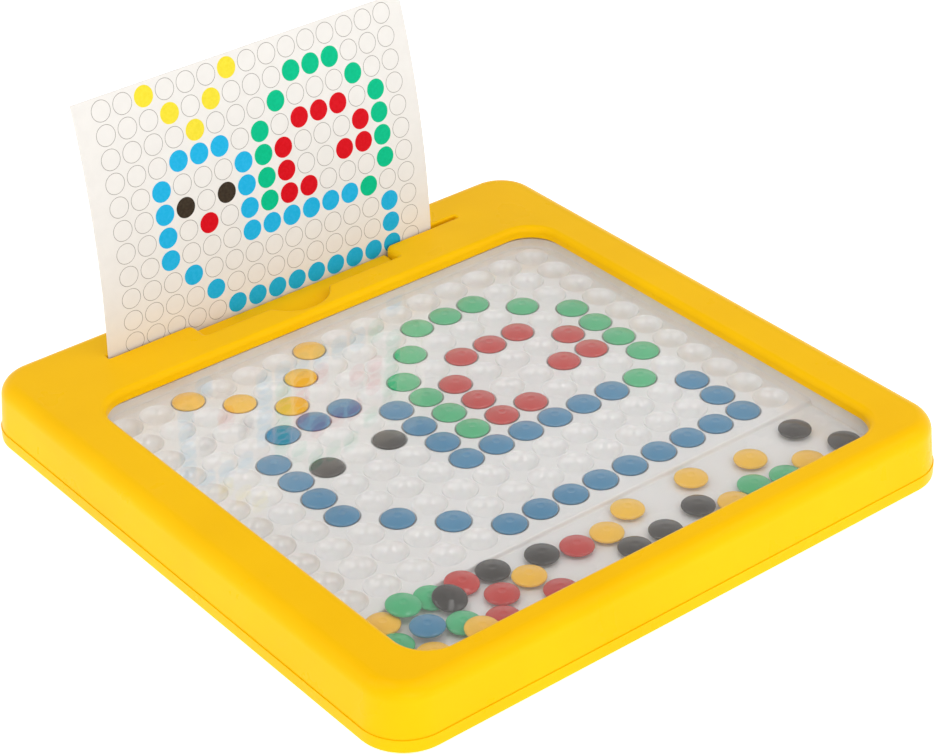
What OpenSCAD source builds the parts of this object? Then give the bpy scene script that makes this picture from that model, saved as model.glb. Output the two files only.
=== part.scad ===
// Magnetic dot board: a shallow two-part case with a clear window over a board of
// round cups, coloured beads that sit in the cups or lie loose in a tray, and a
// pattern card that stands in a slot behind the window.
// Millimetres, +Z up, +Y towards the card, origin at the centre of the base.

/* [Case] */
// width across the case, along the card slot
body_w = 250; // [235:1:265]
// depth of the case, front to back
body_d = 251.5; // [245:0.5:262]
// height of the case above the surface it stands on
body_h = 24; // [22.5:0.5:28]
// corner radius of the case, seen from above
corner_r = 17.7; // [17:0.1:24]
// how far each wall leans in from the parting line to the top
wall_draft = 1.75; // [0.5:0.05:2.5]
// rounding of the top edge
edge_r = 6; // [4:0.5:7]
// height of the lower shell
part_z = 5.4; // [4.8:0.2:6.4]
// how far the lower shell stands proud of the upper frame
shell_step = 0.4; // [0.2:0.1:0.8]
// wall thickness of both mouldings
wall_t = 2.2; // [1.6:0.1:2.6]

/* [Window] */
// width of the window opening
open_w = 206.2; // [200:0.2:208]
// depth of the window opening
open_d = 192.5; // [190:0.5:194]
// corner radius of the window opening
open_r = 13; // [10:0.5:15]
// thickness of the clear sheet
window_t = 1.6; // [1.2:0.1:2.0]
// how far the sheet lies below the top of the case
window_drop = 4.6; // [4.2:0.1:5.2]

/* [Board] */
// cups across the board
cols = 15; // [9:1:15]
// rows of cups
rows = 11; // [7:1:11]
// spacing of the cups, both ways
pitch = 13.6; // [13:0.1:13.6]
// diameter of a cup
cup_d = 12.9; // [12.6:0.1:13.1]
// depth of the tray and the cups below the board's top
cup_depth = 1.8; // [1.8:0.1:2.2]

/* [Beads] */
// diameter of a bead
bead_d = 12.4; // [11.8:0.1:12.4]
// thickness of a bead at its middle
bead_t = 3.2; // [3.0:0.1:3.3]
// height of a bead's upright rim
rim_t = 0.8; // [0.5:0.1:1.0]

/* [Card] */
// width of the pattern card
card_w = 150.5; // [140:0.5:151]
// height of the card, with the part in the slot
card_h = 108; // [90:1:115]
// thickness of the card
card_t = 0.5; // [0.4:0.1:0.6]
// radius to which the card bows backwards
card_bow = 340; // [320:5:900]
// how far the line that the card bows about leans from level, in degrees
card_lean = 9; // [0:0.5:9]
// how far the whole card is turned in its own plane, in degrees
card_roll = 0.9; // [0:0.1:1]
// width of the card slot
slot_gap = 2.4; // [2:0.1:3]

/* [Hidden] */
$fn = 96;
slack = 0.1;
skirt = 3.1;
open_y = -15.05;
board_top = 13.7;
tray_z = board_top - cup_depth;
board_z = tray_z - wall_t;
window_top = body_h - window_drop;
window_z = window_top - window_t;
row0_y = 73.5;
step_y = -72.7;
slot_y = 104.8;
slot_w = 164;
slot_floor = 12.4;
card_x = -6.25;
card_foot = 10;
trough_w = 90;
trough_y = 94;
trough_floor = 20.8;
notch_r = 14.5;
notch_x = -2.5;
notch_y = 99.6;
notch_floor = 17.4;
pegs = [[-115.5, -100], [-115.5, 0], [-115.5, 100], [115.5, -100], [115.5, 0], [115.5, 100]];

dome_r = (pow(bead_d / 2, 2) + pow((bead_t - rim_t) / 2, 2)) / (bead_t - rim_t);
loose_z = tray_z + slack + bead_t / 2;

// Cups are counted from the left [0] and from the back [1].
blue_brow = [[3, 3], [4, 3], [5, 3]];
blue_face = [[2, 4], [2, 5], [2, 6], [2, 7]];
blue_chin = [[3, 8], [4, 9]];
blue_belly = [for (c = [5:13]) [c, 10]];
blue_tail = [[13, 8], [13, 9]];
blue_neck = [for (r = [4:7]) [6, r]];
blue_back = [for (c = [7:11]) [c, 7]];
green_left = [for (r = [3:6]) [7, r]];
green_top = [for (c = [9:11]) [c, 1]];
green_right = [for (r = [3:6]) [13, r]];

// Loose beads: x, y, lift off the tray floor, tilt about X, tilt about Y.
loose_black = [
    [87.2, -83.2, 0, 0, 0], [95.2, -100, 0, 0, 0], [28.9, -95.8, 0, 0, 0], [10.7, -99.4, 0, 0, 0],
    [-3.7, -100.1, 0, 0, 0], [-30.2, -83, 0, 0, 0], [-48.4, -79.4, 0, 0, 0],
    [-70.1, -84, 1.7, 14, 1]];
loose_yellow = [
    [62, -86.8, 0, 0, 0], [38.2, -82, 0, 0, 0], [76.9, -100.6, 0, 0, 0], [39.8, -102.4, 0, 0, 0],
    [9, -81.8, 0, 0, 0], [-5.4, -87.6, 0, 0, 0], [-41.1, -89.6, 0, 0, 0], [-93.8, -79, 0, 0, 0],
    [-72.3, -103.8, 2.1, 4, 0], [-90.8, -102, 0, 0, 0]];
loose_red = [
    [-18.1, -86.9, 0, 0, 0], [-60.8, -78.5, 0.3, 6, 0], [-54.2, -91.4, 0, 0, 0],
    [-61.8, -101.5, 0, 0, 0], [-37.9, -102.2, 0, 0, 0]];
loose_green = [
    [52, -99.2, 0, 0, 0], [64.4, -102.2, 0, 0, 0], [-84.2, -77.4, 2, 5, 2],
    [-73.4, -78.1, 0.1, 6.5, 1], [-73.7, -95.9, 0.3, 3, 0], [-97.3, -91, 0.4, 0, 2]];
loose_blue = [[-84.6, -90.8, 1.5, 0, 0]];

// A flat block with rounded corners.
module slab(w, d, r, h) {
    linear_extrude(h) rounded(w, d, r);
}

module rounded(w, d, r) {
    union() {
        square([w - 2 * r, d], center = true);
        square([w, d - 2 * r], center = true);
        for (x = [-1, 1], y = [-1, 1])
            translate([x * (w / 2 - r), y * (d / 2 - r)]) circle(r);
    }
}

// Carries a profile round a rounded rectangle; x = 0 of the profile lies on the path.
module sweep(w, d, r) {
    for (a = [0, 180]) rotate(a) {
        side(w, d - 2 * r) children();
        rotate(90) side(d, w - 2 * r) children();
        corner(w, d, r) children();
        rotate(90) corner(d, w, r) children();
    }
}

module side(w, length) {
    translate([w / 2, length / 2, 0]) rotate([90, 0, 0]) linear_extrude(length) children();
}

module corner(w, d, r) {
    translate([w / 2 - r, d / 2 - r, 0]) rotate_extrude(angle = 90) translate([r, 0]) children();
}

// Outer wall of the upper frame in section: it leans in and rolls over at the top.
module wall_section(t) {
    lean = wall_draft / (body_h - part_z);
    top_x = -wall_draft;
    difference() {
        union() {
            polygon([[0, part_z], [-(body_h - edge_r - part_z) * lean, body_h - edge_r],
                [top_x - edge_r, body_h - edge_r], [top_x - edge_r, part_z]]);
            translate([top_x - edge_r, part_z]) square([0.2, body_h - part_z]);
            intersection() {
                translate([top_x - edge_r + 0.35, body_h - edge_r]) circle(edge_r);
                translate([top_x - edge_r, part_z]) square([edge_r + wall_draft, body_h - part_z]);
            }
        }
        polygon([[-t, part_z - 1], [-t - wall_draft * 0.6, body_h - edge_r],
            [top_x - edge_r + 0.8, body_h - wall_t], [top_x - edge_r - 1, body_h - wall_t],
            [top_x - edge_r - 1, part_z - 1]]);
    }
}

// The upper frame: walls, top, the lip of the window and the pockets behind it.
module top_frame() {
    frame_w = body_w - 2 * shell_step;
    frame_d = body_d - 2 * shell_step;
    color([0.96, 0.76, 0.12]) difference() {
        union() {
            sweep(frame_w, frame_d, corner_r - shell_step) wall_section(wall_t);
            translate([0, 0, body_h - wall_t])
                slab(frame_w - 2 * (edge_r + wall_draft) + 0.2, frame_d - 2 * (edge_r + wall_draft) + 0.2,
                    corner_r - shell_step - edge_r - wall_draft + 0.1, wall_t);
            translate([0, open_y, window_top + slack])
                slab(open_w + 2 * skirt + 4, open_d + 2 * skirt + 4, open_r + skirt + 2,
                    body_h - window_top - slack - 1);
            translate([0, open_y, tray_z]) difference() {
                slab(open_w + 2 * skirt + 4, open_d + 2 * skirt + 4, open_r + skirt + 2, body_h - tray_z - 1);
                translate([0, 0, -1])
                    slab(open_w + 2 * skirt + 0.4, open_d + 2 * skirt + 0.4, open_r + skirt + 0.2, body_h);
            }
            pockets(1.6, 0);
            for (p = pegs) translate([p[0], p[1], 3]) cylinder(d = 5, h = body_h - 4);
        }
        translate([0, open_y, 0]) slab(open_w, open_d, open_r, body_h + 1);
        lip_round(2.4);
        pockets(0, 1);
    }
}

// Rounds the upper edge of the window opening.
module lip_round(r) {
    translate([0, open_y, 0]) sweep(open_w, open_d, open_r) difference() {
        translate([-1, body_h - r]) square([r + 1, r + 1]);
        translate([r, body_h - r]) circle(r);
    }
}

// The card slot, and the trough with its finger notch in front of it, grown by a wall.
module pockets(wall, over) {
    top = body_h - 1 + 2 * over;
    translate([-slot_w / 2 - wall, slot_y - slot_gap / 2 - wall, slot_floor - wall])
        cube([slot_w + 2 * wall, slot_gap + 2 * wall, top - slot_floor + wall]);
    intersection() {
        union() {
            translate([-trough_w / 2 - wall, trough_y - min(wall, 1), 0])
                cube([trough_w + 2 * wall, slot_y - trough_y, top]);
            translate([notch_x, notch_y, 0]) cylinder(r = notch_r + min(wall, 1), h = top);
        }
        translate([trough_w, 0, 0]) rotate([90, 0, -90]) linear_extrude(2 * trough_w)
            polygon([[-slot_y, trough_floor - wall], [-trough_y - 3, trough_floor - wall],
                [-trough_y + 8, notch_floor - wall], [-trough_y + 20, notch_floor - wall],
                [-trough_y + 20, top], [-slot_y, top]]);
    }
}

// The lower shell: floor, low wall, rails under the board and sockets for the pegs.
module bottom_shell() {
    color([0.93, 0.72, 0.1]) difference() {
        union() {
            difference() {
                slab(body_w, body_d, corner_r, part_z - slack);
                translate([0, 0, wall_t]) slab(body_w - 2 * wall_t, body_d - 2 * wall_t,
                    corner_r - wall_t, part_z);
            }
            translate([0, open_y, 1]) difference() {
                slab(open_w, open_d, open_r, board_z - slack - 1);
                translate([0, 0, -1]) slab(open_w - 2 * wall_t, open_d - 2 * wall_t, open_r - wall_t, 20);
            }
            for (y = [-60, open_y, 30]) translate([-open_w / 2 + 1, y, 1])
                cube([open_w - 2, wall_t, board_z - slack - 1]);
            for (p = pegs) translate([p[0], p[1], 1]) cylinder(d = 9, h = 8);
        }
        for (p = pegs) translate([p[0], p[1], wall_t]) cylinder(d = 5.2, h = 10);
    }
}

// One cup: a round well that takes the lower half of a bead.
module cup() {
    translate([0, 0, tray_z]) cylinder(d = cup_d, h = cup_depth + 1);
}

function cup_at(c, r) = [(c - 7) * pitch, row0_y - r * pitch, 0];

// The board: a raised field of cups, the tray in front of it and a rim all round.
module bead_board() {
    color([0.88, 0.87, 0.86]) difference() {
        translate([0, open_y, board_z])
            slab(open_w + 2 * skirt, open_d + 2 * skirt, open_r + skirt, window_z - slack - board_z);
        intersection() {
            translate([0, open_y, tray_z]) slab(open_w + 3.8, open_d + 3.8, open_r + 1.9, 20);
            union() {
                translate([-200, -200, board_top]) cube([400, 400, 20]);
                translate([-200, step_y - 200, tray_z]) cube([400, 200, 20]);
                translate([-200, step_y, tray_z]) rotate([90, 0, 90]) linear_extrude(400)
                    polygon([[-0.5, 0], [0, 0], [cup_depth * 0.4, cup_depth], [-0.5, cup_depth]]);
            }
        }
        for (c = [0:cols - 1], r = [0:rows - 1]) translate(cup_at(c, r)) cup();
    }
}

// The clear sheet that closes the board.
module clear_window() {
    color([0.9, 0.95, 0.97, 0.35]) translate([0, open_y, window_z])
        slab(open_w + 2 * skirt, open_d + 2 * skirt, open_r + skirt, window_t);
}

// The pattern card: upright in its slot, bowing backwards above it.
module pattern_card() {
    rise = card_bow * sin((card_h - card_foot) / card_bow * 180 / PI);
    color([0.95, 0.94, 0.92])
        translate([card_x, slot_y - card_t / 2, body_h]) rotate([0, card_roll, 0]) intersection() {
            translate([0, card_bow, 0]) rotate([0, 90 + card_lean, 0]) difference() {
                cylinder(r = card_bow, h = 2 * card_w, center = true, $fn = 360);
                cylinder(r = card_bow - card_t, h = 2 * card_w + 1, center = true, $fn = 360);
            }
            translate([-card_w / 2, -1, -card_foot]) cube([card_w, 50, card_foot + rise]);
        }
}

// One bead: two shallow domes on an upright rim.
module bead() {
    intersection() {
        translate([0, 0, bead_t / 2 - dome_r]) sphere(dome_r);
        translate([0, 0, dome_r - bead_t / 2]) sphere(dome_r);
        cylinder(d = bead_d, h = bead_t + 1, center = true);
    }
}

module seated(cups) {
    for (q = cups) translate(cup_at(q[0], q[1])) translate([0, 0, board_top]) bead();
}

module scattered(list) {
    for (q = list) translate([q[0], q[1], loose_z + q[2]]) rotate([q[3], q[4], 0]) bead();
}

module yellow(cups) { color([0.93, 0.75, 0.3]) seated(cups); }
module black(cups) { color([0.25, 0.24, 0.23]) seated(cups); }
module red(cups) { color([0.8, 0.3, 0.28]) seated(cups); }
module blue(cups) { color([0.35, 0.6, 0.75]) seated(cups); }
module green(cups) { color([0.35, 0.75, 0.5]) seated(cups); }

bottom_shell();
top_frame();
bead_board();
clear_window();
pattern_card();
yellow([[2, 0]]);  // yellow_1
yellow([[3, 1]]);  // yellow_2
yellow([[4, 2]]);  // yellow_3
yellow([[5, 1]]);  // yellow_4
yellow([[6, 0]]);  // yellow_5
black([[3, 5]]);  // black_1
black([[5, 5]]);  // black_2
red([[8, 4]]);  // red_1
red([[8, 5]]);  // red_2
red([[8, 6]]);  // red_3
red([[9, 6]]);  // red_4
red([[9, 3]]);  // red_5
red([[10, 3]]);  // red_6
red([[11, 3]]);  // red_7
red([[12, 4]]);  // red_8
red([[12, 5]]);  // red_9
red([[11, 5]]);  // red_10
blue(blue_brow);
blue(blue_face);
blue(blue_chin);
blue(blue_belly);
blue(blue_tail);
blue(blue_neck);
blue(blue_back);
green(green_left);
green([[8, 2]]);  // green_peak_1
green(green_top);
green([[12, 2]]);  // green_peak_2
green(green_right);
green([[12, 7]]);  // green_inner
color([0.25, 0.24, 0.23]) scattered(loose_black);
color([0.93, 0.75, 0.3]) scattered(loose_yellow);
color([0.8, 0.3, 0.28]) scattered(loose_red);
color([0.35, 0.75, 0.5]) scattered(loose_green);
color([0.35, 0.6, 0.75]) scattered(loose_blue);
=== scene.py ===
"""Looks for the dot board: yellow case, milky cup board, clear window, enamelled beads and card."""
import math

import bmesh
import bpy
from mathutils import Matrix, Vector


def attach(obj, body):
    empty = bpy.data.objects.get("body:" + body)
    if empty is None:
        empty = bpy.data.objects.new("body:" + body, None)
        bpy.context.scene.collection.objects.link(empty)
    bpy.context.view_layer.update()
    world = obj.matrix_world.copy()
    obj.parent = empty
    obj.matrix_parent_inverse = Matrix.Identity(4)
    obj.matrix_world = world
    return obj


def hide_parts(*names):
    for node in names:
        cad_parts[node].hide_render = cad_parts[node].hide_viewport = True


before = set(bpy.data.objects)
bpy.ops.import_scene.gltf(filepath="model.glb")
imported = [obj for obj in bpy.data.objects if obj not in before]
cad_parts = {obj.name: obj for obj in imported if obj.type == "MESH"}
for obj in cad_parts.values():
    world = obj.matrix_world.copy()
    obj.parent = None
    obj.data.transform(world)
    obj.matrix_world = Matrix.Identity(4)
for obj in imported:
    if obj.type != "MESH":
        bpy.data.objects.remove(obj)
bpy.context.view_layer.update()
scene = bpy.context.scene
MM = 0.001

# ---------------------------------------------------------------- sizes, in mm
# Case: outside, lower shell, upper frame with its leaning walls and rolled edge.
CASE_W, CASE_D, CASE_H = 250.0, 251.5, 24.0
CORNER_R = 17.7
SHELL_H, SHELL_STEP, SHELL_WALL = 5.3, 0.4, 2.2
SHELL_FOOT_R, SHELL_EDGE_R = 1.0, 0.2
LEAN, EDGE_R = 1.75, 6.0
FRAME_LOW = 11.5
# Window opening, its rounded lip, and the clear sheet tucked under it.
OPEN_W, OPEN_D, OPEN_R, OPEN_Y = 206.2, 192.5, 13.0, -15.05
LIP_R = 2.4
WINDOW_LOW, WINDOW_TOP = 17.8, 19.4
TUCK, SHEET_EDGE, FIT = 3.1, 0.2, 0.02
# Slot for the card, trough in front of it, and the finger notch in the trough's middle.
SLOT_Y, SLOT_HALF, SLOT_END, SLOT_FLOOR = 104.8, 1.2, 82.0, 12.4
TROUGH_HALF, TROUGH_Y, TROUGH_Z = 45.0, 94.0, 20.8
NOTCH_R, NOTCH_X, NOTCH_Y, NOTCH_Z = 14.5, -2.5, 99.6, 17.4
SLOT_R, TROUGH_BACK_R, TROUGH_FRONT_R, NOTCH_BLEND_R = 0.5, 3.0, 1.4, 2.4
POCKET_EDGE_R, POCKET_END_SOFT, POCKET_END_REACH = 0.9, 1.5, 5.0
# Bar that makes the trough's floor: rounded back edge, run down to the notch, steps of that run.
BAR_R, BAR_RUN, BAR_STEPS, BAR_GAP, BAR_SINK = 0.8, 17.0, 14, 0.6, 0.2
# Board: cups in rows, a soft step down to the tray, and a rim all round.
BOARD_TOP, TRAY_Z, BOARD_LOW = 13.7, 11.9, 9.7
PITCH, ROW0_Y, STEP_Y = 13.6, 73.5, -72.7
COLS, ROWS = 15, 11
CUP_R, CUP_DEPTH, CUP_LIP_R, CUP_SLOPE = 6.45, 2.9, 0.34, 61
RIM_OUT, RIM_CLEAR = 1.9, 0.1
# The step's section: distance towards the tray, height below the cups' land.
STEP_SECTION = [(0.0, 0.0), (0.2, -0.04), (0.4, -0.18), (0.6, -0.45), (0.8, -0.9), (1.0, -1.35),
                (1.2, -1.62), (1.4, -1.76), (1.6, -1.8)]
# Beads: a dome with a small dimple in its crown and a rolled rim.
BEAD_R, BEAD_HALF, RIM_HALF = 6.05, 1.6, 0.4
DOME_R = (BEAD_R ** 2 + (BEAD_HALF - RIM_HALF) ** 2) / (2 * (BEAD_HALF - RIM_HALF))
DIMPLE = [(0.35, -0.16), (0.7, -0.15), (1.0, -0.1), (1.25, -0.02), (1.5, 0.03), (1.85, 0.01)]
DIMPLE_TIP = 0.005
DOME_RINGS = (2.4, 3.1, 3.8, 4.4, 4.9, 5.25)
BEAD_RIM = ((0.5, 0.62), (0.26, 0.5), (0.1, 0.33), (0.02, 0.16), (0, 0))
TRAY_SLACK = 0.1
# Card and its print.
CARD_X, CARD_W, CARD_T, CARD_FOOT, CARD_TOP = -6.25, 150.5, 0.5, 10.0, 98.0
CARD_BOW, CARD_LEAN, CARD_ROLL = 340.0, math.radians(9), math.radians(0.9)
PRINT_PITCH_X, PRINT_PITCH_Z, PRINT_X, PRINT_TOP = 9.2, 9.19, -63.6, 92.7
PRINT_R, PRINT_LINE = 4.08, 0.21
# Points round one turn, and how near two points are one.
SPOKES, PRINT_SPOKES = 40, 48
SAME, SAME_ON_CARD = 0.01, 0.005

SEATED = {
    "yellow_1": [(2, 0)], "yellow_2": [(3, 1)], "yellow_3": [(4, 2)], "yellow_4": [(5, 1)],
    "yellow_5": [(6, 0)], "black_1": [(3, 5)], "black_2": [(5, 5)],
    "red_1": [(8, 4)], "red_2": [(8, 5)], "red_3": [(8, 6)], "red_4": [(9, 6)], "red_5": [(9, 3)],
    "red_6": [(10, 3)], "red_7": [(11, 3)], "red_8": [(12, 4)], "red_9": [(12, 5)], "red_10": [(11, 5)],
    "blue_brow": [(3, 3), (4, 3), (5, 3)], "blue_face": [(2, 4), (2, 5), (2, 6), (2, 7)],
    "blue_chin": [(3, 8), (4, 9)], "blue_belly": [(c, 10) for c in range(5, 14)],
    "blue_tail": [(13, 8), (13, 9)], "blue_neck": [(6, r) for r in range(4, 8)],
    "blue_back": [(c, 7) for c in range(7, 12)], "green_left": [(7, r) for r in range(3, 7)],
    "green_peak_1": [(8, 2)], "green_top": [(c, 1) for c in (9, 10, 11)], "green_peak_2": [(12, 2)],
    "green_right": [(13, r) for r in range(3, 7)], "green_inner": [(12, 7)],
}
PRINT_EXTRA = {"red": [(4, 6)]}

# Loose beads: x, y, lift off the tray floor, tilt about X, tilt about Y.
LOOSE = {
    "loose_black": [
        (87.2, -83.2, 0, 0, 0), (95.2, -100, 0, 0, 0), (28.9, -95.8, 0, 0, 0), (10.7, -99.4, 0, 0, 0),
        (-3.7, -100.1, 0, 0, 0), (-30.2, -83, 0, 0, 0), (-48.4, -79.4, 0, 0, 0), (-70.1, -84, 1.7, 14, 1)],
    "loose_yellow": [
        (62, -86.8, 0, 0, 0), (38.2, -82, 0, 0, 0), (76.9, -100.6, 0, 0, 0), (39.8, -102.4, 0, 0, 0),
        (9, -81.8, 0, 0, 0), (-5.4, -87.6, 0, 0, 0), (-41.1, -89.6, 0, 0, 0), (-93.8, -79, 0, 0, 0),
        (-72.3, -103.8, 2.1, 4, 0), (-90.8, -102, 0, 0, 0)],
    "loose_red": [
        (-18.1, -86.9, 0, 0, 0), (-60.8, -78.5, 0.3, 6, 0), (-54.2, -91.4, 0, 0, 0),
        (-61.8, -101.5, 0, 0, 0), (-37.9, -102.2, 0, 0, 0)],
    "loose_green": [
        (52, -99.2, 0, 0, 0), (64.4, -102.2, 0, 0, 0), (-84.2, -77.4, 2, 5, 2),
        (-73.4, -78.1, 0.1, 6.5, 1), (-73.7, -95.9, 0.3, 3, 0), (-97.3, -91, 0.4, 0, 2)],
    "loose_blue": [(-84.6, -90.8, 1.5, 0, 0)],
}


# ---------------------------------------------------------------- materials
CLEAR_INDEX = 1.49
GRAIN, FINE_GRAIN, PAPER_GRAIN = 900.0, 1500.0, 3000.0


def material(name):
    """A new node material: (material, node tree, principled shader)."""
    m = bpy.data.materials.new(name)
    m.use_nodes = True
    tree = m.node_tree
    return m, tree, tree.nodes["Principled BSDF"]


def node(tree, kind, **inputs):
    """A node with its inputs set by name; a linked input is given as a socket."""
    n = tree.nodes.new(kind)
    for key, value in inputs.items():
        if isinstance(value, bpy.types.NodeSocket):
            tree.links.new(value, n.inputs[key.replace("_", " ")])
        elif key.replace("_", " ") in n.inputs:
            n.inputs[key.replace("_", " ")].default_value = value
        else:
            setattr(n, key, value)
    return n


def noise(tree, scale, detail=3.0, rough=0.5):
    """Noise over the piece's own coordinates, in metres."""
    place = tree.nodes.new("ShaderNodeTexCoord")
    return node(tree, "ShaderNodeTexNoise", Vector=place.outputs["Object"], Scale=scale,
                Detail=detail, Roughness=rough).outputs["Fac"]


def ramp(tree, fac, stops):
    """A colour ramp through (place, colour) stops."""
    n = node(tree, "ShaderNodeValToRGB", Fac=fac)
    for i, (at, colour) in enumerate(stops):
        stop = n.color_ramp.elements[i] if i < 2 else n.color_ramp.elements.new(at)
        stop.position = at
        stop.color = (*colour, 1)
    return n.outputs["Color"]


def spread(tree, fac, low, high):
    """Maps noise from its usual middle range to low..high."""
    n = node(tree, "ShaderNodeMapRange", Value=fac)
    n.inputs["From Min"].default_value = 0.3
    n.inputs["From Max"].default_value = 0.7
    n.inputs["To Min"].default_value = low
    n.inputs["To Max"].default_value = high
    return n.outputs["Result"]


def bump(tree, shader, height, strength, depth):
    """Bump of a given depth in metres."""
    n = node(tree, "ShaderNodeBump", Height=height, Strength=strength, Distance=depth)
    tree.links.new(n.outputs["Normal"], shader.inputs["Normal"])


def plastic(name, dark, light, rough, grain, grain_depth, shine, scatter=0.0, coat=0.0,
            coat_rough=0.08, coat_index=1.5):
    """Moulded plastic: slightly uneven colour and gloss with a fine grain."""
    m, tree, shader = material(name)
    tone = ramp(tree, noise(tree, 18.0, 4.0), [(0.3, dark), (0.7, light)])
    tree.links.new(tone, shader.inputs["Base Color"])
    uneven = spread(tree, noise(tree, 60.0, 5.0), rough - 0.04, rough + 0.05)
    tree.links.new(uneven, shader.inputs["Roughness"])
    bump(tree, shader, noise(tree, grain, 4.0, 0.6), 0.35, grain_depth)
    shader.inputs["IOR"].default_value = 1.5
    shader.inputs["Specular IOR Level"].default_value = shine
    shader.inputs["Coat Weight"].default_value = coat
    shader.inputs["Coat Roughness"].default_value = coat_rough
    shader.inputs["Coat IOR"].default_value = coat_index
    shader.inputs["Subsurface Weight"].default_value = scatter
    shader.inputs["Subsurface Scale"].default_value = 0.002
    return m


def enamel(colour, dark, light):
    """The beads' glossy coat."""
    return plastic("enamel_" + colour, dark, light, 0.2, FINE_GRAIN, 0.000005, shine=0.2, coat=0.5)


def card_stock():
    """Coated white card with a faint mottle."""
    m, tree, shader = material("card_stock")
    stops = [(0.35, (0.765, 0.745, 0.715)), (0.65, (0.785, 0.765, 0.735))]
    tone = ramp(tree, noise(tree, 240.0, 5.0), stops)
    tree.links.new(tone, shader.inputs["Base Color"])
    shader.inputs["Roughness"].default_value = 0.55
    shader.inputs["Specular IOR Level"].default_value = 0.2
    bump(tree, shader, noise(tree, PAPER_GRAIN, 3.0), 0.3, 0.00001)
    return m


def ink(name, dark, light):
    """Printed ink: slightly glossier than the card, with a faint mottle."""
    m, tree, shader = material(name)
    tone = ramp(tree, noise(tree, 900.0, 4.0), [(0.35, dark), (0.65, light)])
    tree.links.new(tone, shader.inputs["Base Color"])
    shader.inputs["Roughness"].default_value = 0.42
    shader.inputs["Specular IOR Level"].default_value = 0.06
    bump(tree, shader, noise(tree, PAPER_GRAIN, 3.0), 0.3, 0.00001)
    return m


def clear_plastic():
    """The window: see-through, with a mirror sheen on both faces and the faintest haze."""
    m, tree, shader = material("clear_plastic")
    tree.links.new(spread(tree, noise(tree, 30.0, 5.0), 0.006, 0.016), shader.inputs["Alpha"])
    shader.inputs["Base Color"].default_value = (0.92, 0.90, 0.88, 1)
    shader.inputs["Roughness"].default_value = 0.5
    side = tree.nodes.new("ShaderNodeNewGeometry").outputs["Backfacing"]
    index = node(tree, "ShaderNodeMapRange", Value=side)
    index.inputs["To Min"].default_value = CLEAR_INDEX
    index.inputs["To Max"].default_value = 1 / CLEAR_INDEX
    fresnel = node(tree, "ShaderNodeFresnel", IOR=index.outputs["Result"])
    rough = spread(tree, noise(tree, 25.0, 5.0), 0.0, 0.004)
    gloss = node(tree, "ShaderNodeBsdfGlossy", Roughness=rough)
    gloss.inputs["Color"].default_value = (1, 0.96, 0.92, 1)
    mix = node(tree, "ShaderNodeMixShader", Fac=fresnel.outputs["Fac"])
    tree.links.new(shader.outputs["BSDF"], mix.inputs[1])
    tree.links.new(gloss.outputs["BSDF"], mix.inputs[2])
    tree.links.new(mix.outputs["Shader"], tree.nodes["Material Output"].inputs["Surface"])
    return m


yellow_plastic = plastic("yellow_plastic", (0.90, 0.49, 0.0), (0.95, 0.54, 0.001), 0.3, GRAIN, 0.00001, 0.06)
board_plastic = plastic("milky_plastic", (0.80, 0.785, 0.77), (0.84, 0.83, 0.82), 0.25, 500.0, 0.00001, 0.3,
                        scatter=0.06, coat=1.0, coat_rough=0.17, coat_index=1.65)
enamels = {
    "yellow": enamel("yellow", (0.92, 0.50, 0.006), (0.96, 0.56, 0.012)),
    "black": enamel("black", (0.012, 0.009, 0.007), (0.018, 0.014, 0.011)),
    "red": enamel("red", (0.52, 0.012, 0.008), (0.58, 0.018, 0.012)),
    "blue": enamel("blue", (0.022, 0.20, 0.38), (0.036, 0.235, 0.43)),
    "green": enamel("green", (0.03, 0.43, 0.165), (0.045, 0.49, 0.20)),
}
inks = {
    "yellow": ink("ink_yellow", (0.80, 0.66, 0.03), (0.84, 0.70, 0.045)),
    "black": ink("ink_black", (0.035, 0.024, 0.015), (0.05, 0.036, 0.024)),
    "red": ink("ink_red", (0.61, 0.002, 0.008), (0.65, 0.005, 0.014)),
    "blue": ink("ink_blue", (0.01, 0.40, 0.70), (0.02, 0.43, 0.74)),
    "green": ink("ink_green", (0.0, 0.46, 0.22), (0.001, 0.50, 0.245)),
    "outline": ink("ink_outline", (0.23, 0.205, 0.185), (0.28, 0.25, 0.23)),
}


# ---------------------------------------------------------------- meshes
SHARP = math.radians(32)


def finish_mesh(name, bm, materials, body, replaced, weighted=False):
    """Turns a bmesh in mm into a piece that rides on a body in place of its CAD nodes."""
    bmesh.ops.recalc_face_normals(bm, faces=bm.faces)
    for e in bm.edges:
        e.smooth = not (len(e.link_faces) == 2 and e.calc_face_angle(0) > SHARP)
    for f in bm.faces:
        f.smooth = True
    bmesh.ops.scale(bm, vec=(MM, MM, MM), verts=bm.verts)
    mesh = bpy.data.meshes.new(name)
    bm.to_mesh(mesh)
    bm.free()
    for m in materials:
        mesh.materials.append(m)
    piece = bpy.data.objects.new(name, mesh)
    scene.collection.objects.link(piece)
    if weighted:
        mod = piece.modifiers.new("flat_faces", "WEIGHTED_NORMAL")
        mod.keep_sharp = True
        mod.weight = 100
    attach(piece, body)
    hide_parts(*replaced)
    return piece


def rounded_loop(w, d, r, z, y=0.0, steps=14):
    """Points round a rounded rectangle, counter-clockwise from the right side's front end."""
    out = []
    for k, (sx, sy) in enumerate([(1, 1), (-1, 1), (-1, -1), (1, -1)]):
        for i in range(steps + 1):
            a = math.pi / 2 * (k + i / steps)
            out.append(Vector((sx * (w / 2 - r) + r * math.cos(a),
                               y + sy * (d / 2 - r) + r * math.sin(a), z)))
    return out


def ring(bm, points):
    """Adds a closed loop of vertices."""
    return [bm.verts.new(p) for p in points]


def bridge(bm, low, high):
    """Quads between two loops of the same length."""
    n = len(low)
    return [bm.faces.new((low[i], low[(i + 1) % n], high[(i + 1) % n], high[i])) for i in range(n)]


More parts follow.
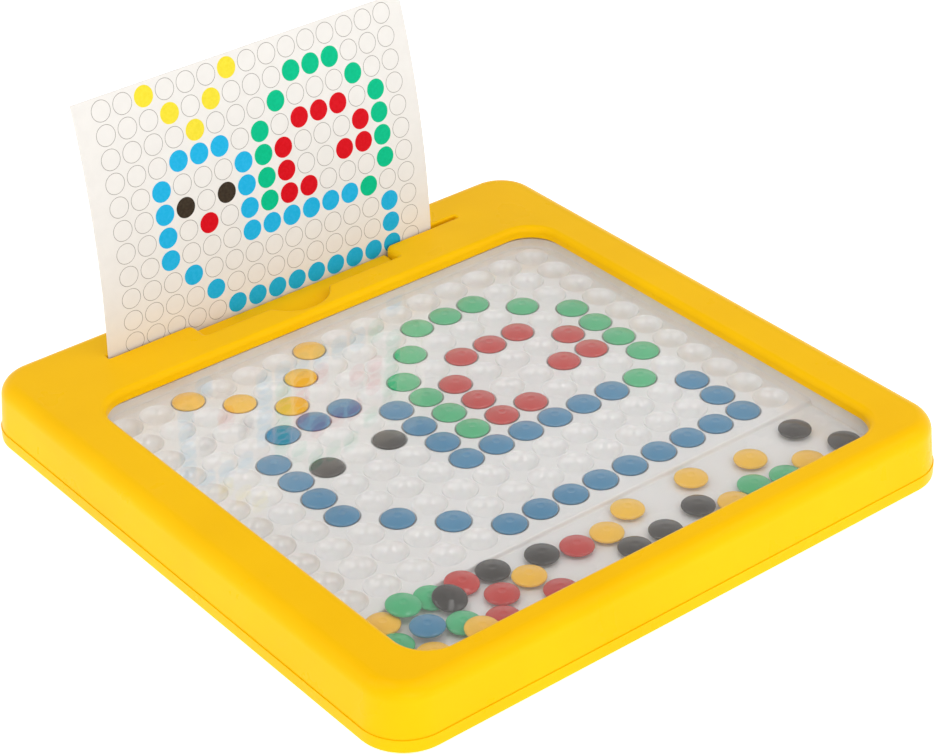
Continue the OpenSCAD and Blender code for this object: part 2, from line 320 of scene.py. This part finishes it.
def fan(bm, loop, tip):
    """Triangles from a loop to one vertex."""
    n = len(loop)
    return [bm.faces.new((loop[i], loop[(i + 1) % n], tip)) for i in range(n)]


def loft(bm, loops):
    """Joins a list of point loops; returns their vertices."""
    rings = [ring(bm, p) for p in loops]
    for low, high in zip(rings, rings[1:]):
        bridge(bm, low, high)
    return rings


def arc(cx, cz, r, start, stop, steps):
    """Points on a circle in section: (distance, height)."""
    return [(cx + r * math.cos(math.radians(start + (stop - start) * i / steps)),
             cz + r * math.sin(math.radians(start + (stop - start) * i / steps))) for i in range(steps + 1)]


def case_loop(inset, z):
    """A loop round the case's outside, a distance in from its wall."""
    return rounded_loop(CASE_W - 2 * inset, CASE_D - 2 * inset, CORNER_R - inset, z)


def window_loop(out, z):
    """A loop round the window opening, a distance out from its edge."""
    return rounded_loop(OPEN_W + 2 * out, OPEN_D + 2 * out, OPEN_R + out, z, OPEN_Y)


def loop_edges(bm, verts):
    """The edges along a closed loop of vertices."""
    out = []
    for a, b in zip(verts, verts[1:] + verts[:1]):
        e = bm.edges.get((a, b))
        out.append(e if e else bm.edges.new((a, b)))
    return out


def make_shell():
    """The lower shell: a shallow tray with softened edges."""
    bm = bmesh.new()
    section = arc(SHELL_FOOT_R, SHELL_FOOT_R, SHELL_FOOT_R, 270, 180, 5)
    section += arc(SHELL_EDGE_R, SHELL_H - SHELL_EDGE_R, SHELL_EDGE_R, 180, 90, 5)
    section += [(SHELL_WALL, SHELL_H), (SHELL_WALL, SHELL_WALL)]
    rings = loft(bm, [case_loop(x, z) for x, z in section])
    bm.faces.new(rings[0])
    bm.faces.new(rings[-1])
    finish_mesh("lower_shell", bm, [yellow_plastic], "case", ["bottom_shell"], True)


def fillet(x, y, r, u, v, steps=8):
    """Points and outward directions round a corner, from unit direction u to unit direction v."""
    turn = math.atan2(u.x * v.y - u.y * v.x, u.dot(v))
    start = Vector((x, y)) - u * (r * math.tan(abs(turn) / 2))
    left = Vector((-u.y, u.x)) * (1 if turn > 0 else -1)
    centre = start + left * r
    out = []
    for k in range(steps + 1):
        spoke = Matrix.Rotation(turn * k / steps, 2) @ -left
        p = centre + spoke * r
        away = spoke if turn > 0 else -spoke
        out.append((p.x, p.y, away.x, away.y))
    return out


def notch_arc(cut, steps=24):
    """Points and outward directions round the finger notch, short of its two blends."""
    trim = math.degrees(NOTCH_BLEND_R * math.tan(math.radians(90 - cut) / 2) / NOTCH_R)
    out = []
    for k in range(steps + 1):
        a = math.radians(180 + cut + trim + (180 - 2 * cut - 2 * trim) * k / steps)
        out.append((NOTCH_X + NOTCH_R * math.cos(a), NOTCH_Y + NOTCH_R * math.sin(a),
                    math.cos(a), math.sin(a)))
    return out


def pocket_outline():
    """Outline of the slot, trough and finger notch from above: points and outward directions."""
    cut = math.degrees(math.asin((NOTCH_Y - TROUGH_Y) / NOTCH_R))
    side = NOTCH_R * math.cos(math.radians(cut))
    front, back = SLOT_Y - SLOT_HALF, SLOT_Y + SLOT_HALF
    # x, y and rounding of each corner; None is the notch between its two blends.
    corners = [(-SLOT_END, back, SLOT_R), (-SLOT_END, front, SLOT_R), (-TROUGH_HALF, front, TROUGH_BACK_R),
               (-TROUGH_HALF, TROUGH_Y, TROUGH_FRONT_R), (NOTCH_X - side, TROUGH_Y, NOTCH_BLEND_R), None,
               (NOTCH_X + side, TROUGH_Y, NOTCH_BLEND_R), (TROUGH_HALF, TROUGH_Y, TROUGH_FRONT_R),
               (TROUGH_HALF, front, TROUGH_BACK_R), (SLOT_END, front, SLOT_R), (SLOT_END, back, SLOT_R)]
    into_notch = Vector((math.sin(math.radians(cut)), -math.cos(math.radians(cut))))
    out_of_notch = Vector((math.sin(math.radians(cut)), math.cos(math.radians(cut))))
    out = []
    for i, corner in enumerate(corners):
        if corner is None:
            out += notch_arc(cut)
            continue
        x, y, r = corner
        before, after = corners[i - 1], corners[(i + 1) % len(corners)]
        u = Vector((x - before[0], y - before[1])).normalized() if before else out_of_notch
        v = Vector((after[0] - x, after[1] - y)).normalized() if after else into_notch
        out += fillet(x, y, r, u, v)
    return out


def cut_pockets(bm):
    """Walls and floor of the slot, trough and notch; returns the loop round their upper edge."""
    outline = pocket_outline()
    # The upper edges are rounded, most of all at the trough's ends.
    near, far = TROUGH_HALF - POCKET_END_REACH, TROUGH_HALF + POCKET_END_REACH
    soft = [POCKET_EDGE_R + (POCKET_END_SOFT * p[2] ** 2 if near < abs(p[0]) < far else 0) for p in outline]
    rings = []
    for x, z in [(1 - c, 1 - h) for c, h in arc(0, 0, 1, 90, 0, 8)]:
        rings.append([bm.verts.new((p[0] + p[2] * x * r, p[1] + p[3] * x * r, CASE_H - z * r))
                      for p, r in zip(outline, soft)])
    rings.append([bm.verts.new((p[0], p[1], SLOT_FLOOR)) for p in outline])
    for high, low in zip(rings, rings[1:]):
        bridge(bm, high, low)
    bmesh.ops.triangle_fill(bm, use_beauty=True, edges=loop_edges(bm, rings[-1]))
    return rings[0]


def add_trough_floor(bm):
    """The trough's floor: a rounded bar, a hair short of the end walls, that dips to the finger notch."""
    back = SLOT_Y - SLOT_HALF
    profile = [(back, SLOT_FLOOR + BAR_SINK)]
    profile += [(back - BAR_R + y, z) for y, z in arc(0, TROUGH_Z - BAR_R, BAR_R, 0, 90, 6)]
    for i in range(1, BAR_STEPS + 1):
        t = i / BAR_STEPS
        dip = t ** 2.4 * (1.6 - 0.6 * t)
        profile.append((back - BAR_R - BAR_RUN * t, TROUGH_Z + (NOTCH_Z - TROUGH_Z) * dip))
    profile += [(back - BAR_R - BAR_RUN, SLOT_FLOOR + BAR_SINK)]
    half = TROUGH_HALF - BAR_GAP
    ends = [[bm.verts.new((x, y, z)) for y, z in profile] for x in (-half, half)]
    bridge(bm, ends[0], ends[1])
    bm.faces.new(ends[0])
    bm.faces.new(ends[1])


def make_frame():
    """The upper frame: leaning walls, rolled edge, window lip, and the pockets behind the window."""
    bm = bmesh.new()
    lean = math.atan(LEAN / (CASE_H - SHELL_H))
    wall_top = SHELL_STEP + (CASE_H - EDGE_R - SHELL_H) * math.tan(lean)
    edge_x = wall_top + EDGE_R / math.cos(lean)
    # From the underside out to the parting line, then up the wall and over the edge.
    section = [(edge_x + 2, FRAME_LOW), (3.2, FRAME_LOW), (3.0, SHELL_H + 0.005),
               (SHELL_STEP + 0.1, SHELL_H + 0.005), (SHELL_STEP + 0.04, SHELL_H + 0.03),
               (SHELL_STEP + 0.02, SHELL_H + 0.1)]
    section += arc(edge_x, CASE_H - EDGE_R, EDGE_R, 180 - math.degrees(lean), 90, 14)
    outer = loft(bm, [case_loop(x, z) for x, z in section])
    lip = [(LIP_R - x, z) for x, z in arc(0, CASE_H - LIP_R, LIP_R, 90, 0, 10)]
    lip += [(0, WINDOW_TOP + FIT), (TUCK, WINDOW_TOP + FIT), (TUCK + 0.2, FRAME_LOW)]
    inner = loft(bm, [window_loop(x, z) for x, z in lip])
    bridge(bm, inner[-1], outer[0])
    pocket = cut_pockets(bm)
    top = loop_edges(bm, outer[-1]) + loop_edges(bm, inner[0]) + loop_edges(bm, pocket)
    bmesh.ops.triangle_fill(bm, use_beauty=True, edges=top)
    add_trough_floor(bm)
    finish_mesh("upper_frame", bm, [yellow_plastic], "case", ["top_frame"], True)


def make_window():
    """The clear sheet with eased edges."""
    bm = bmesh.new()
    section = [(TUCK - SHEET_EDGE, WINDOW_LOW), (TUCK, WINDOW_LOW + SHEET_EDGE),
               (TUCK, WINDOW_TOP - SHEET_EDGE), (TUCK - SHEET_EDGE, WINDOW_TOP)]
    rings = loft(bm, [window_loop(x, z) for x, z in section])
    bm.faces.new(rings[0])
    bm.faces.new(rings[-1])
    finish_mesh("window_sheet", bm, [clear_plastic()], "case", ["clear_window"], True)


def cup_section():
    """A cup in section, from its rim to its middle: (radius, height)."""
    edge = [(CUP_R + CUP_LIP_R - x, BOARD_TOP - CUP_LIP_R + z) for x, z in arc(0, 0, CUP_LIP_R, 90, 0, 5)]
    r = (CUP_DEPTH - CUP_LIP_R) / (1 - math.cos(math.radians(CUP_SLOPE)))
    middle = CUP_R - r * math.sin(math.radians(CUP_SLOPE))
    bowl = [(middle + x, BOARD_TOP - CUP_DEPTH + r + z) for x, z in arc(0, 0, r, CUP_SLOPE - 90, -90, 12)]
    return edge + bowl[1:]


def cup_place(col, row):
    """The middle of a cup from above."""
    return (col - COLS // 2) * PITCH, ROW0_Y - row * PITCH


def add_cup(bm, cx, cy):
    """One cup in its square of land."""
    turns = [2 * math.pi * i / SPOKES for i in range(SPOKES)]
    square = []
    for a in turns:
        reach = PITCH / 2 / max(abs(math.cos(a)), abs(math.sin(a)))
        square.append(bm.verts.new((cx + reach * math.cos(a), cy + reach * math.sin(a), BOARD_TOP)))
    rings = [square]
    for r, z in cup_section():
        rings.append([bm.verts.new((cx + r * math.cos(a), cy + r * math.sin(a), z)) for a in turns])
    for a, b in zip(rings, rings[1:]):
        bridge(bm, a, b)
    fan(bm, rings[-1], bm.verts.new((cx, cy, BOARD_TOP - CUP_DEPTH)))


def chamber_ends():
    """The rounded back and front ends of the bead chamber from above, counter-clockwise."""
    r = OPEN_R + RIM_OUT

    def quarter(cx, cy, start, steps=10):
        turns = [math.radians(start + 90 * i / steps) for i in range(steps + 1)]
        return [(cx + r * math.cos(a), cy + r * math.sin(a)) for a in turns]

    x = OPEN_W / 2 + RIM_OUT - r
    back, front = OPEN_Y + OPEN_D / 2 + RIM_OUT - r, OPEN_Y - OPEN_D / 2 - RIM_OUT + r
    return (quarter(x, back, 0) + quarter(-x, back, 90),
            quarter(-x, front, 180) + quarter(x, front, 270))


def floor_at(y):
    """The board's height at the chamber's wall."""
    for (a, h), (b, k) in zip(STEP_SECTION, STEP_SECTION[1:]):
        if STEP_Y - b <= y <= STEP_Y - a:
            return BOARD_TOP + h + (k - h) * (STEP_Y - a - y) / (b - a)
    return BOARD_TOP if y > STEP_Y else TRAY_Z


def make_board():
    """The milky board: a field of soft-edged cups, the tray in front and a rim all round."""
    bm = bmesh.new()
    for row in range(ROWS):
        for col in range(COLS):
            add_cup(bm, *cup_place(col, row))
    bmesh.ops.remove_doubles(bm, verts=bm.verts, dist=SAME)
    border = [e for e in bm.edges if e.is_boundary]
    # The land round the cups, the tray, and the step between them.
    side, foot = OPEN_W / 2 + RIM_OUT, STEP_Y - STEP_SECTION[-1][0]
    back_end, front_end = chamber_ends()
    land = [bm.verts.new((x, y, BOARD_TOP)) for x, y in [(-side, STEP_Y), (side, STEP_Y)] + back_end]
    bmesh.ops.triangle_fill(bm, use_beauty=True, edges=border + loop_edges(bm, land))
    tray = [bm.verts.new((x, y, TRAY_Z)) for x, y in [(side, foot), (-side, foot)] + front_end]
    bmesh.ops.triangle_fill(bm, use_beauty=True, edges=loop_edges(bm, tray))
    left, right = ([bm.verts.new((x, STEP_Y - a, BOARD_TOP + h)) for a, h in STEP_SECTION]
                   for x in (-side, side))
    for i in range(len(STEP_SECTION) - 1):
        bm.faces.new((left[i], left[i + 1], right[i + 1], right[i]))
    # The rim: its inner wall, its top and the board's outside.
    step_ys = [STEP_Y - a for a, h in STEP_SECTION]
    around = (back_end + [(-side, y) for y in step_ys] + front_end + [(side, y) for y in step_ys[::-1]])
    rim_top = WINDOW_LOW - RIM_CLEAR
    low = [bm.verts.new((x, y, floor_at(y))) for x, y in around]
    high = [bm.verts.new((x, y, rim_top)) for x, y in around]
    bridge(bm, low, high)
    bmesh.ops.remove_doubles(bm, verts=bm.verts, dist=SAME)
    rim_in = [e for e in bm.edges if e.is_boundary]
    rings = loft(bm, [window_loop(TUCK, rim_top), window_loop(TUCK, BOARD_LOW)])
    bmesh.ops.triangle_fill(bm, use_beauty=True, edges=rim_in + loop_edges(bm, rings[0]))
    bm.faces.new(rings[-1])
    finish_mesh("cup_board", bm, [board_plastic], "case", ["bead_board"], True)


def dome(r):
    """Height of the bead's plain dome at a radius."""
    return math.sqrt(DOME_R ** 2 - r * r) - (DOME_R - BEAD_HALF)


def bead_section():
    """Half of a bead in section from its crown to its waist: (radius, height)."""
    out = [(r, dome(r) + dz) for r, dz in DIMPLE]
    out += [(r, dome(r)) for r in DOME_RINGS]
    return out + [(BEAD_R - x, z) for x, z in BEAD_RIM]


def add_bead(bm, place):
    """One bead of revolution at a placement matrix, crowned above and below."""
    half = bead_section()
    section = half + [(r, -z) for r, z in reversed(half[:-1])]
    turns = [2 * math.pi * i / SPOKES for i in range(SPOKES)]
    rings = [[bm.verts.new(place @ Vector((r * math.cos(a), r * math.sin(a), z))) for a in turns]
             for r, z in section]
    for a, b in zip(rings, rings[1:]):
        bridge(bm, a, b)
    tip_z = half[0][1] - DIMPLE_TIP
    for loop, z in ((rings[0], tip_z), (rings[-1], -tip_z)):
        fan(bm, loop, bm.verts.new(place @ Vector((0, 0, z))))


def make_beads():
    """All beads, one piece for each CAD node."""
    for name, cups in SEATED.items():
        bm = bmesh.new()
        for cup in cups:
            add_bead(bm, Matrix.Translation((*cup_place(*cup), BOARD_TOP)))
        colour = name.split("_")[0]
        finish_mesh("bead_" + name, bm, [enamels[colour]], name + "_body", [name])
    for name, beads in LOOSE.items():
        bm = bmesh.new()
        for x, y, lift, tilt_x, tilt_y in beads:
            turn = (Matrix.Rotation(math.radians(tilt_y), 4, "Y")
                    @ Matrix.Rotation(math.radians(tilt_x), 4, "X"))
            add_bead(bm, Matrix.Translation((x, y, TRAY_Z + TRAY_SLACK + BEAD_HALF + lift)) @ turn)
        colour = name.split("_")[1]
        finish_mesh("beads_" + name, bm, [enamels[colour]], name + "_body", [name])


def card_point(x, s, depth):
    """Where a point of the flat card ends up: x across from its middle, s up from the frame's top."""
    rise = s * math.cos(CARD_LEAN) + x * math.sin(CARD_LEAN)
    along = x * math.cos(CARD_LEAN) - s * math.sin(CARD_LEAN)
    r = CARD_BOW - depth
    back = CARD_BOW - r * math.cos(rise / CARD_BOW)
    rise = r * math.sin(rise / CARD_BOW)
    turn = CARD_LEAN + CARD_ROLL
    return Vector((CARD_X + along * math.cos(turn) + rise * math.sin(turn), SLOT_Y - CARD_T / 2 + back,
                   CASE_H + rise * math.cos(turn) - along * math.sin(turn)))


def printed_cell(bm, cx, cs, fill, outline):
    """One cell of the card's print, drawn flat: a dot or an outlined ring in its square."""
    turns = [2 * math.pi * i / PRINT_SPOKES for i in range(PRINT_SPOKES)]
    loops = [[(r * math.cos(a), r * math.sin(a)) for a in turns]
             for r in (1, PRINT_R, PRINT_R - PRINT_LINE, PRINT_R * 0.66, PRINT_R * 0.33)]
    # The outermost loop is pushed out from the unit circle to the cell's square.
    loops[0] = [(PRINT_PITCH_X / 2 * x / max(abs(x), abs(y)), PRINT_PITCH_Z / 2 * y / max(abs(x), abs(y)))
                for x, y in loops[0]]
    rings = [[bm.verts.new((cx + x, cs + y, 0)) for x, y in loop] for loop in loops]
    tip = bm.verts.new((cx, cs, 0))
    bands = [bridge(bm, a, b) for a, b in zip(rings, rings[1:])] + [fan(bm, rings[-1], tip)]
    for band, paint in zip(bands, (0, outline, fill, fill, fill)):
        for f in band:
            f.material_index = paint


def margin_face(bm, edge, axis, place, low, high, far):
    """A face from the print's edge out to the card's edge, between two places along the edge."""
    along = 1 - axis
    near = [v for v in edge if abs(v.co[axis] - place) < SAME and low + SAME < v.co[along] < high - SAME]
    near.sort(key=lambda v: v.co[along])
    ends = [(place, low), (place, high), (far, high), (far, low)]
    if axis == 1:
        ends = [(u, s) for s, u in ends]
    first, *rest = [bm.verts.new((u, s, 0)) for u, s in ends]
    bm.faces.new([first] + near + rest)


def make_card():
    """The pattern card: a bowed sheet whose printed rings and dots are faces of its front."""
    colour_of = {cup: name.split("_")[0] for name, cups in SEATED.items() for cup in cups}
    colour_of.update({cup: colour for colour, cups in PRINT_EXTRA.items() for cup in cups})
    names = list(inks)
    low, high = -CARD_FOOT, CARD_TOP
    left, right = -CARD_W / 2, CARD_W / 2
    xs = [PRINT_X + (c - 0.5) * PRINT_PITCH_X for c in range(COLS + 1)]
    zs = [PRINT_TOP - (r - 0.5) * PRINT_PITCH_Z for r in range(ROWS + 1)]
    bm = bmesh.new()
    for row in range(ROWS):
        for col in range(COLS):
            dot = colour_of.get((col, row))
            fill = 1 + names.index(dot) if dot else 0
            outline = fill if dot else 1 + names.index("outline")
            printed_cell(bm, PRINT_X + col * PRINT_PITCH_X, PRINT_TOP - row * PRINT_PITCH_Z, fill, outline)
    bmesh.ops.remove_doubles(bm, verts=bm.verts, dist=SAME_ON_CARD)
    edge = [v for v in bm.verts if v.is_boundary]
    # The margins: one face beside each row and over or under each column.
    for x, far in ((xs[0], left), (xs[-1], right)):
        for top, foot in zip(zs, zs[1:]):
            margin_face(bm, edge, 0, x, foot, top, far)
    columns = [(left, xs[0])] + list(zip(xs, xs[1:])) + [(xs[-1], right)]
    for s, far in ((zs[0], high), (zs[-1], low)):
        for x0, x1 in columns:
            margin_face(bm, edge, 1, s, x0, x1, far)
    # The back, the sides and the two ends.
    stations = [low] + zs[::-1] + [high]
    for s0, s1 in zip(stations, stations[1:]):
        sheet = (left, s0, CARD_T), (right, s0, CARD_T), (right, s1, CARD_T), (left, s1, CARD_T)
        bm.faces.new([bm.verts.new(p) for p in sheet])
        for x in (left, right):
            side = (x, s0, 0), (x, s1, 0), (x, s1, CARD_T), (x, s0, CARD_T)
            bm.faces.new([bm.verts.new(p) for p in side])
    for s in (low, high):
        bm.faces.new([bm.verts.new((x, s, 0)) for x in [left] + xs + [right]]
                     + [bm.verts.new((right, s, CARD_T)), bm.verts.new((left, s, CARD_T))])
    bmesh.ops.remove_doubles(bm, verts=bm.verts, dist=SAME_ON_CARD)
    for v in bm.verts:
        v.co = card_point(*v.co)
    finish_mesh("dot_card", bm, [card_stock()] + [inks[k] for k in names], "pattern_card_body",
                ["pattern_card"])


# ---------------------------------------------------------------- stage, in metres
FLOOR_HALF, FLOOR_GLOW = 6.0, 0.6
# The sky's brightness by how far up one looks (0 level, 1 straight up).
SKY_GLOW = 1.25
SKY = [(0.3, 0.85), (0.5, 0.56), (0.7, 0.42), (0.92, 0.16)]
# Name, place, width, length, power; all lamps have one colour and point at the case's middle.
LAMPS = [
    ("strobe_left", (-0.40, 0.09, 1.2), 0.22, 0.9, 2.2),
    ("strobe_right", (0.19, -0.36, 1.2), 0.22, 0.9, 2.2),
    ("softbox_left", (-0.93, 0.41, 0.96), 0.8, 0.8, 2.4),
    ("softbox_right", (0.64, -0.79, 0.96), 0.8, 0.8, 2.6),
    ("front_fill", (-0.50, -1.20, 0.55), 0.9, 0.5, 3.4),
]
LAMP_COLOUR = (1.0, 0.99, 0.98)
LAMP_AIM = Vector((0, 0, 0.02))
# The lamps' length runs away from the viewer.
LAMP_RUN = Vector((0.607, 0.794, 0))
CAMERA_PLACE = (-0.4941, -0.6461, 0.5440)
CAMERA_AIM = Vector((0.51708, 0.66964, -0.53311))
CAMERA_ROLL = math.radians(-1.6)
LENS, SENSOR, CLIP = 103.5, 36.0, (0.02, 20.0)


def make_floor():
    """Plain pale floor with a little glow of its own."""
    m, tree, shader = material("floor_paper")
    tone = ramp(tree, noise(tree, 6.0, 2.0), [(0.3, (0.90, 0.90, 0.90)), (0.7, (0.93, 0.93, 0.93))])
    tree.links.new(tone, shader.inputs["Base Color"])
    shader.inputs["Roughness"].default_value = 0.9
    shader.inputs["Specular IOR Level"].default_value = 0.1
    shader.inputs["Emission Color"].default_value = (1, 1, 1, 1)
    shader.inputs["Emission Strength"].default_value = FLOOR_GLOW
    mesh = bpy.data.meshes.new("floor")
    corners = [(x * FLOOR_HALF, y * FLOOR_HALF, 0) for x, y in ((-1, -1), (1, -1), (1, 1), (-1, 1))]
    mesh.from_pydata(corners, [], [(0, 1, 2, 3)])
    mesh.materials.append(m)
    floor = bpy.data.objects.new("floor", mesh)
    scene.collection.objects.link(floor)


def make_world():
    """A studio sky, bright at the horizon and darker overhead."""
    world = bpy.data.worlds.new("studio")
    scene.world = world
    world.use_nodes = True
    tree = world.node_tree
    place = tree.nodes.new("ShaderNodeTexCoord")
    direction = node(tree, "ShaderNodeSeparateXYZ", Vector=place.outputs["Generated"])
    glow = ramp(tree, direction.outputs["Z"], [(z, (level,) * 3) for z, level in SKY])
    tree.links.new(glow, tree.nodes["Background"].inputs["Color"])
    tree.nodes["Background"].inputs["Strength"].default_value = SKY_GLOW


def make_lamps():
    """Two narrow strobes over the case, two soft boxes beside it and a fill in front."""
    for name, place, width, length, power in LAMPS:
        lamp = bpy.data.lights.new(name, "AREA")
        lamp.shape = "RECTANGLE"
        lamp.size, lamp.size_y = width, length
        lamp.energy = power
        lamp.color = LAMP_COLOUR
        light = bpy.data.objects.new(name, lamp)
        light.location = place
        back = (Vector(place) - LAMP_AIM).normalized()
        side = LAMP_RUN.cross(back).normalized()
        light.rotation_mode = "QUATERNION"
        light.rotation_quaternion = Matrix((side, back.cross(side), back)).transposed().to_quaternion()
        scene.collection.objects.link(light)


def make_camera():
    """The camera and the view transform."""
    lens = bpy.data.cameras.new("camera")
    lens.lens, lens.sensor_width = LENS, SENSOR
    lens.clip_start, lens.clip_end = CLIP
    camera = bpy.data.objects.new("camera", lens)
    scene.collection.objects.link(camera)
    camera.location = CAMERA_PLACE
    camera.rotation_mode = "QUATERNION"
    aimed = CAMERA_AIM.to_track_quat("-Z", "Y").to_matrix() @ Matrix.Rotation(CAMERA_ROLL, 3, "Z")
    camera.rotation_quaternion = aimed.to_quaternion()
    scene.camera = camera
    scene.view_settings.view_transform = "Standard"


make_floor()
make_world()
make_lamps()
make_camera()
make_shell()
make_frame()
make_board()
make_window()
make_beads()
make_card()
